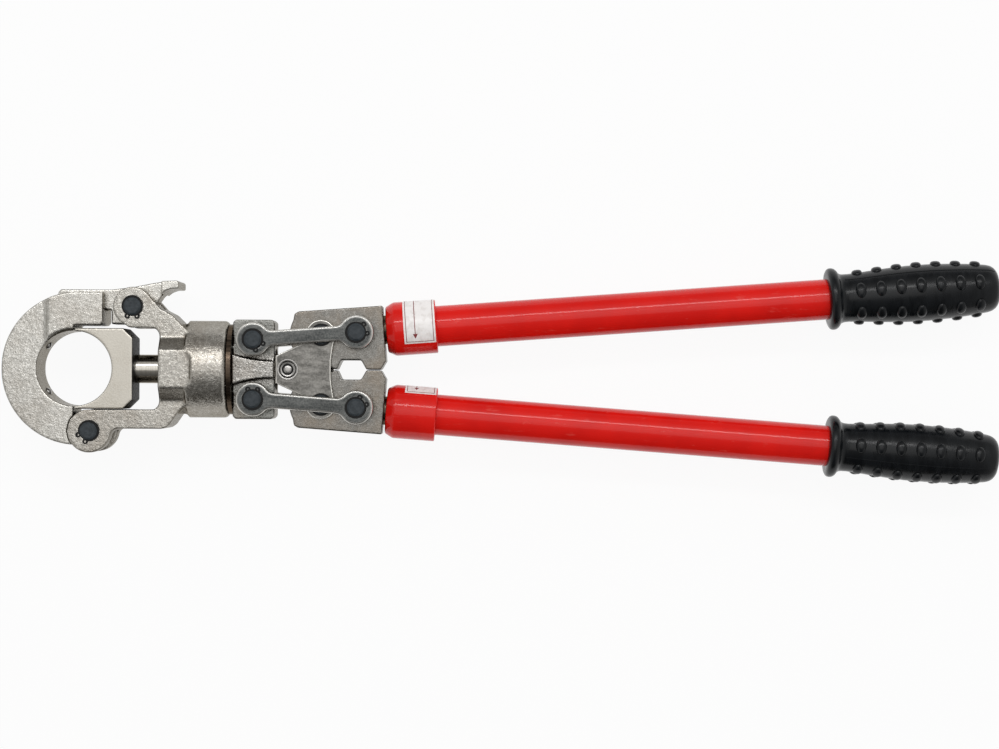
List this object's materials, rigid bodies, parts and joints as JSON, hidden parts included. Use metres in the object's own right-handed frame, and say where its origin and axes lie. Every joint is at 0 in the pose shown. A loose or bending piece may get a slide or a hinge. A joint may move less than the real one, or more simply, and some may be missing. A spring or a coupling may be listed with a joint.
{
  "type": "crimping tool",
  "caption": "Hand crimping tool with a hinged latching jaw, open die seat, swivelling head, toggle links and long telescopic handles with studded grips.",
  "frame": {"origin": "centre of the split die seat, on the tool's middle plane", "axes": "+X along the tool from the seat to the grips, +Y to the latch side, +Z out of the flat face along the seat's axis"},
  "size_m": [0.695, 0.158, 0.0676],
  "materials": {
    "forged_nickel": "rough forged steel, nickel plated",
    "satin_nickel": "machined and satin nickel plated",
    "bright_steel": "ground and polished",
    "link_steel": "forged and tumbled",
    "black_pin": "hardened, blue-black",
    "black_clip": "phosphated black",
    "spring_wire": "drawn wire",
    "bronze": "turned",
    "red_paint": "glossy red powder coat",
    "black_rubber": "moulded, semi-gloss",
    "nylon": "moulded nylon"
  },
  "bodies": {
    "block": {"toggle_block": "forged_nickel", "anchor_pins": "black_pin", "anchor_pin_circlips": "black_clip", "thrust_washer": "black_clip", "swivel_ring": "black_clip"},
    "head": {"head_body": "forged_nickel", "ram_bush": "bronze", "jaw_pin": "black_pin", "jaw_pin_circlips": "black_clip", "latch_pin": "black_pin", "latch_pin_circlips": "black_clip", "latch_spring": "spring_wire"},
    "jaw": {"hinge_jaw": "forged_nickel", "jaw_upper_detent_spring": "spring_wire", "jaw_lower_detent_spring": "spring_wire"},
    "jaw_upper_detent": {"jaw_upper_detent": "black_pin"},
    "jaw_lower_detent": {"jaw_lower_detent": "black_pin"},
    "latch": {"latch": "forged_nickel"},
    "ram": {"ram_head": "satin_nickel", "ram_rod": "bright_steel", "ram_button": "black_pin", "ram_upper_detent_spring": "spring_wire", "ram_lower_detent_spring": "spring_wire"},
    "ram_upper_detent": {"ram_upper_detent": "black_pin"},
    "ram_lower_detent": {"ram_lower_detent": "black_pin"},
    "crosshead": {"ram_tongue": "bright_steel", "swivel_nut": "bronze", "front_push_plate": "link_steel", "rear_push_plate": "link_steel", "push_pin": "black_pin", "pivot_pins": "black_pin", "pivot_pin_circlips": "black_clip"},
    "upper_handle": {"upper_arm": "forged_nickel", "upper_guide_tube": "bright_steel", "upper_guide_pin": "black_pin", "upper_stop_bush": "nylon"},
    "lower_handle": {"lower_arm": "forged_nickel", "lower_guide_tube": "bright_steel", "lower_guide_pin": "black_pin", "lower_stop_bush": "nylon"},
    "upper_links": {"upper_front_link": "link_steel", "upper_rear_link": "link_steel", "upper_link_pin": "black_pin", "upper_link_pin_circlips": "black_clip"},
    "lower_links": {"lower_front_link": "link_steel", "lower_rear_link": "link_steel", "lower_link_pin": "black_pin", "lower_link_pin_circlips": "black_clip"},
    "upper_extension": {"upper_tube": "red_paint", "upper_grip": "black_rubber", "upper_front_bush": "nylon", "upper_collet": "nylon"},
    "lower_extension": {"lower_tube": "red_paint", "lower_grip": "black_rubber", "lower_front_bush": "nylon", "lower_collet": "nylon"},
    "upper_collar": {"upper_collar": "red_paint"},
    "lower_collar": {"lower_collar": "red_paint"}
  },
  "joints": [
    {"name": "head_swivel", "type": "hinge", "parent": "block", "child": "head", "pos_m": [0.08, 0, 0], "axis": [1, 0, 0], "continuous": true},
    {"name": "jaw_hinge", "type": "hinge", "parent": "head", "child": "jaw", "pos_m": [0.0112, -0.0431, 0], "axis": [0, 0, 1], "range_deg": [0, 90]},
    {"name": "latch_hinge", "type": "hinge", "parent": "head", "child": "latch", "pos_m": [0.0409, 0.0431, 0], "axis": [0, 0, 1], "range_deg": [-12, 0], "stiffness_Nm_per_rad": 0.6, "springref_deg": 20.05, "deforming": ["latch_spring"]},
    {"name": "ram_slide", "type": "slide", "parent": "head", "child": "ram", "axis": [1, 0, 0], "range_m": [0, 0.0077]},
    {"name": "crosshead_slide", "type": "slide", "parent": "block", "child": "crosshead", "axis": [1, 0, 0], "range_m": [0, 0.0077]},
    {"name": "upper_handle_hinge", "type": "hinge", "parent": "crosshead", "child": "upper_handle", "pos_m": [0.17077, 0.02405, 0], "axis": [0, 0, 1], "range_deg": [0, 60]},
    {"name": "lower_handle_hinge", "type": "hinge", "parent": "crosshead", "child": "lower_handle", "pos_m": [0.17077, -0.02405, 0], "axis": [0, 0, -1], "range_deg": [0, 60]},
    {"name": "upper_link_hinge", "type": "hinge", "parent": "block", "child": "upper_links", "pos_m": [0.1245, 0.0206, 0], "axis": [0, 0, 1], "range_deg": [0, 18.2]},
    {"name": "lower_link_hinge", "type": "hinge", "parent": "block", "child": "lower_links", "pos_m": [0.1245, -0.0206, 0], "axis": [0, 0, -1], "range_deg": [0, 18.2]},
    {"name": "jaw_upper_detent_press", "type": "slide", "parent": "jaw", "child": "jaw_upper_detent", "axis": [-0.788, 0.6157, 0], "range_m": [0, 0.0018], "stiffness_N_per_m": 1500, "springref_m": -0.001, "deforming": ["jaw_upper_detent_spring"]},
    {"name": "jaw_lower_detent_press", "type": "slide", "parent": "jaw", "child": "jaw_lower_detent", "axis": [-0.788, -0.6157, 0], "range_m": [0, 0.0018], "stiffness_N_per_m": 1500, "springref_m": -0.001, "deforming": ["jaw_lower_detent_spring"]},
    {"name": "ram_upper_detent_press", "type": "slide", "parent": "ram", "child": "ram_upper_detent", "axis": [0.788, 0.6157, 0], "range_m": [0, 0.0018], "stiffness_N_per_m": 1500, "springref_m": -0.001, "deforming": ["ram_upper_detent_spring"]},
    {"name": "ram_lower_detent_press", "type": "slide", "parent": "ram", "child": "ram_lower_detent", "axis": [0.788, -0.6157, 0], "range_m": [0, 0.0018], "stiffness_N_per_m": 1500, "springref_m": -0.001, "deforming": ["ram_lower_detent_spring"]},
    {"name": "upper_extension_slide", "type": "slide", "parent": "upper_handle", "child": "upper_extension", "axis": [0.9972, 0.0743, 0], "range_m": [0, 0.18]},
    {"name": "upper_collar_twist", "type": "hinge", "parent": "upper_extension", "child": "upper_collar", "pos_m": [0.23053, 0.0295, 0], "axis": [0.9972, 0.0743, 0], "range_deg": [0, 90]},
    {"name": "lower_extension_slide", "type": "slide", "parent": "lower_handle", "child": "lower_extension", "axis": [0.9972, -0.0743, 0], "range_m": [0, 0.18]},
    {"name": "lower_collar_twist", "type": "hinge", "parent": "lower_extension", "child": "lower_collar", "pos_m": [0.23053, -0.0295, 0], "axis": [0.9972, -0.0743, 0], "range_deg": [0, 90]}
  ],
  "couplings": [
    {"joint": "lower_handle_hinge", "follows": "upper_handle_hinge", "ratio": 1},
    {"joint": "crosshead_slide", "follows": "upper_handle_hinge", "m_per_rad": 0.00729},
    {"joint": "ram_slide", "follows": "upper_handle_hinge", "m_per_rad": 0.00729},
    {"joint": "upper_link_hinge", "follows": "upper_handle_hinge", "ratio": 0.30124},
    {"joint": "lower_link_hinge", "follows": "upper_handle_hinge", "ratio": 0.30124}
  ]
}
